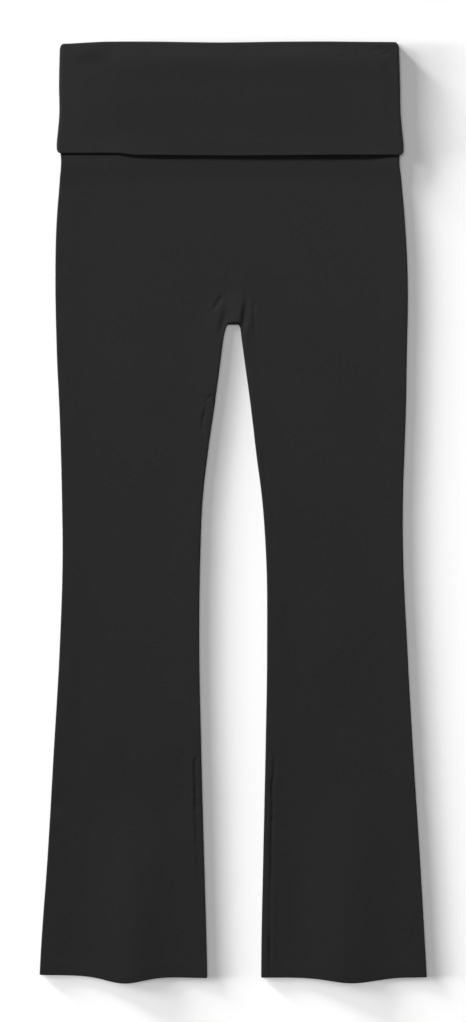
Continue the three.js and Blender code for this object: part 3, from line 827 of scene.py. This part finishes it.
def make_leg_panels(face, fine):
    """Lays both leg panels of the front (face 1) or the back (face -1)."""
    sizes = bpy.context.scene.leggings_sizes
    word = "front" if face > 0 else "back"
    for side in ("left", "right"):
        piece = cloth_mesh(f"cloth_{word}_leg_{side}", leg_surface(side, face, fine, sizes), face > 0)
        give_thickness(piece, sizes.leg_thickness, LEG_ROUNDING)
        finish_cloth(piece, f"{word}_leg_{side}", shared_material("leg_jersey"))
        panel_area(side)


class LEGGINGS_OT_back_legs(bpy.types.Operator):
    """Lay the two back leg panels, which wrap a little onto the front at the inseams"""

    bl_idname = "leggings.back_legs"
    bl_label = "Back Leg Panels"

    def execute(self, context):
        make_leg_panels(-1, 1.35)
        return {"FINISHED"}


class LEGGINGS_OT_front_legs(bpy.types.Operator):
    """Lay the two front leg panels with their creases and hem flutes"""

    bl_idname = "leggings.front_legs"
    bl_label = "Front Leg Panels"

    def execute(self, context):
        make_leg_panels(1, 1)
        return {"FINISHED"}


class LEGGINGS_OT_hem_stitches(bpy.types.Operator):
    """Sew the two rows of stitches that hold each hem, in front and behind"""

    bl_idname = "leggings.hem_stitches"
    bl_label = "Hem Stitches"

    def execute(self, context):
        material = thread_material()
        for side in ("left", "right"):
            bm = bmesh.new()
            for face in (1, -1):
                for up_from_hem in STITCH_ROWS:
                    stitch_row(bm, side, face, up_from_hem, context.scene.leggings_sizes)
            for surface in bm.faces:
                surface.smooth = True
            mesh = bpy.data.meshes.new(f"thread_hem_{side}")
            bm.to_mesh(mesh)
            bm.free()
            piece = bpy.data.objects.new(f"thread_hem_{side}", mesh)
            context.scene.collection.objects.link(piece)
            mesh.materials.append(material)
            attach(piece, "root")
        return {"FINISHED"}


class LEGGINGS_OT_gusset(bpy.types.Operator):
    """Set the kite-shaped gusset over the crotch's edge"""

    bl_idname = "leggings.gusset"
    bl_label = "Gusset"

    def execute(self, context):
        sizes = context.scene.leggings_sizes
        piece = cloth_mesh("cloth_gusset", gusset_surface(sizes), True)
        give_thickness(piece, sizes.leg_thickness, LEG_ROUNDING)
        finish_cloth(piece, "gusset", shared_material("leg_jersey"))
        return {"FINISHED"}


class LEGGINGS_OT_waistband(bpy.types.Operator):
    """Fold the waistband over, in front and behind"""

    bl_idname = "leggings.waistband"
    bl_label = "Folded Waistband"

    def execute(self, context):
        sizes = context.scene.leggings_sizes
        for word, face, fine in (("front", 1, 1), ("back", -1, 1.6)):
            surface = band_surface(face, fine, sizes)
            piece = cloth_mesh(f"cloth_waistband_{word}", surface, face > 0)
            give_thickness(piece, sizes.band_thickness, BAND_ROUNDING)
            knit = shared_material("band_jersey")
            finish_cloth(piece, f"waistband_{word}", knit)
        return {"FINISHED"}


def add_sun(name, energy, spread, turn, elevation, receivers):
    """A soft sun that lights one collection, from the right leg's side turned to the waist."""
    lamp = bpy.data.lights.new(name, "SUN")
    lamp.energy = energy
    lamp.angle = np.radians(spread)
    sun = bpy.data.objects.new(name, lamp)
    turn, elevation = np.radians(turn), np.radians(elevation)
    level = np.cos(elevation)
    way = Vector((level * np.cos(turn), -level * np.sin(turn), -np.sin(elevation)))
    sun.rotation_euler = way.to_track_quat("-Z", "Y").to_euler()
    bpy.context.scene.collection.objects.link(sun)
    sun.light_linking.receiver_collection = receivers


class LEGGINGS_OT_stage(bpy.types.Operator):
    """Set the white floor, the lights and the camera straight above"""

    bl_idname = "leggings.stage"
    bl_label = "Stage"

    def execute(self, context):
        scene = context.scene
        studio = scene.studio_settings
        bm = bmesh.new()
        bmesh.ops.create_grid(bm, x_segments=1, y_segments=1, size=15.0)
        bmesh.ops.translate(bm, verts=bm.verts, vec=(0, 0, -0.1 * MM))
        mesh = bpy.data.meshes.new("floor")
        bm.to_mesh(mesh)
        bm.free()
        floor = bpy.data.objects.new("floor", mesh)
        scene.collection.objects.link(floor)
        paper = bpy.data.materials.new("floor_paper")
        paper.use_nodes = True
        shader = paper.node_tree.nodes["Principled BSDF"]
        shader.inputs["Base Color"].default_value = (0.88, 0.88, 0.88, 1)
        shader.inputs["Roughness"].default_value = 0.95
        shader.inputs["Specular IOR Level"].default_value = 0.1
        floor.data.materials.append(paper)

        world = bpy.data.worlds.new("sky")
        world.use_nodes = True
        world.node_tree.nodes["Background"].inputs["Color"].default_value = (1, 1, 1, 1)
        world.node_tree.nodes["Background"].inputs["Strength"].default_value = studio.sky
        scene.world = world

        lamp = bpy.data.lights.new("key", "AREA")
        lamp.energy = studio.key_power
        lamp.shape = "DISK"
        lamp.size = KEY_WIDTH
        key = bpy.data.objects.new("key", lamp)
        key.location = KEY_PLACE
        key.visible_camera = False
        key.rotation_euler = (-key.location).to_track_quat("-Z", "Y").to_euler()
        scene.collection.objects.link(key)
        not_floor = bpy.data.collections.new("not_floor")
        not_floor.objects.link(floor)
        not_floor.collection_objects[0].light_linking.link_state = "EXCLUDE"
        key.light_linking.receiver_collection = not_floor

        floor_only = bpy.data.collections.new("floor_only")
        floor_only.objects.link(floor)
        add_sun("floor_skim_side", studio.floor_skim, 10, 0, 5.5, floor_only)
        add_sun("floor_skim_waist", studio.floor_skim, 11, 42, 6, floor_only)
        add_sun("floor_side", studio.floor_side, 20, 20, 12.5, floor_only)
        add_sun("floor_top", studio.floor_top, 40, 30, 80, floor_only)

        lens = bpy.data.cameras.new("camera")
        lens.sensor_fit = "VERTICAL"
        lens.sensor_height = 24.0
        lens.lens = lens.sensor_height * studio.camera_height / studio.picture_height
        lens.clip_end = 50
        camera = bpy.data.objects.new("camera", lens)
        camera.location = (*CAMERA_PLACE, studio.camera_height)
        scene.collection.objects.link(camera)
        scene.camera = camera
        scene.view_settings.view_transform = "Standard"
        return {"FINISHED"}


class LEGGINGS_PT_sidebar(bpy.types.Panel):
    """Lists the garment's pieces and their settings"""

    bl_idname = "LEGGINGS_PT_sidebar"
    bl_label = "Foldover Leggings"
    bl_space_type = "VIEW_3D"
    bl_region_type = "UI"
    bl_category = "Leggings"

    def draw(self, context):
        for operator in OPERATORS:
            self.layout.operator(operator.bl_idname)
        for group in (context.scene.leggings_sizes, context.scene.jersey_finish,
                      context.scene.studio_settings):
            box = self.layout.box()
            for name in group.__annotations__:
                box.prop(group, name)


OPERATORS = (
    LEGGINGS_OT_back_legs, LEGGINGS_OT_front_legs, LEGGINGS_OT_hem_stitches,
    LEGGINGS_OT_gusset, LEGGINGS_OT_waistband, LEGGINGS_OT_stage,
)
GROUPS = (LeggingsSizes, JerseyFinish, StudioSettings)


def register():
    for cls in (*GROUPS, *OPERATORS, LEGGINGS_PT_sidebar):
        bpy.utils.register_class(cls)
    bpy.types.Scene.leggings_sizes = bpy.props.PointerProperty(type=LeggingsSizes)
    bpy.types.Scene.jersey_finish = bpy.props.PointerProperty(type=JerseyFinish)
    bpy.types.Scene.studio_settings = bpy.props.PointerProperty(type=StudioSettings)


def unregister():
    del bpy.types.Scene.studio_settings
    del bpy.types.Scene.jersey_finish
    del bpy.types.Scene.leggings_sizes
    for cls in reversed((*GROUPS, *OPERATORS, LEGGINGS_PT_sidebar)):
        bpy.utils.unregister_class(cls)


def main():
    register()
    bpy.ops.leggings.back_legs()
    bpy.ops.leggings.front_legs()
    bpy.ops.leggings.hem_stitches()
    bpy.ops.leggings.gusset()
    bpy.ops.leggings.waistband()
    bpy.ops.leggings.stage()


if __name__ == "__main__":
    main()
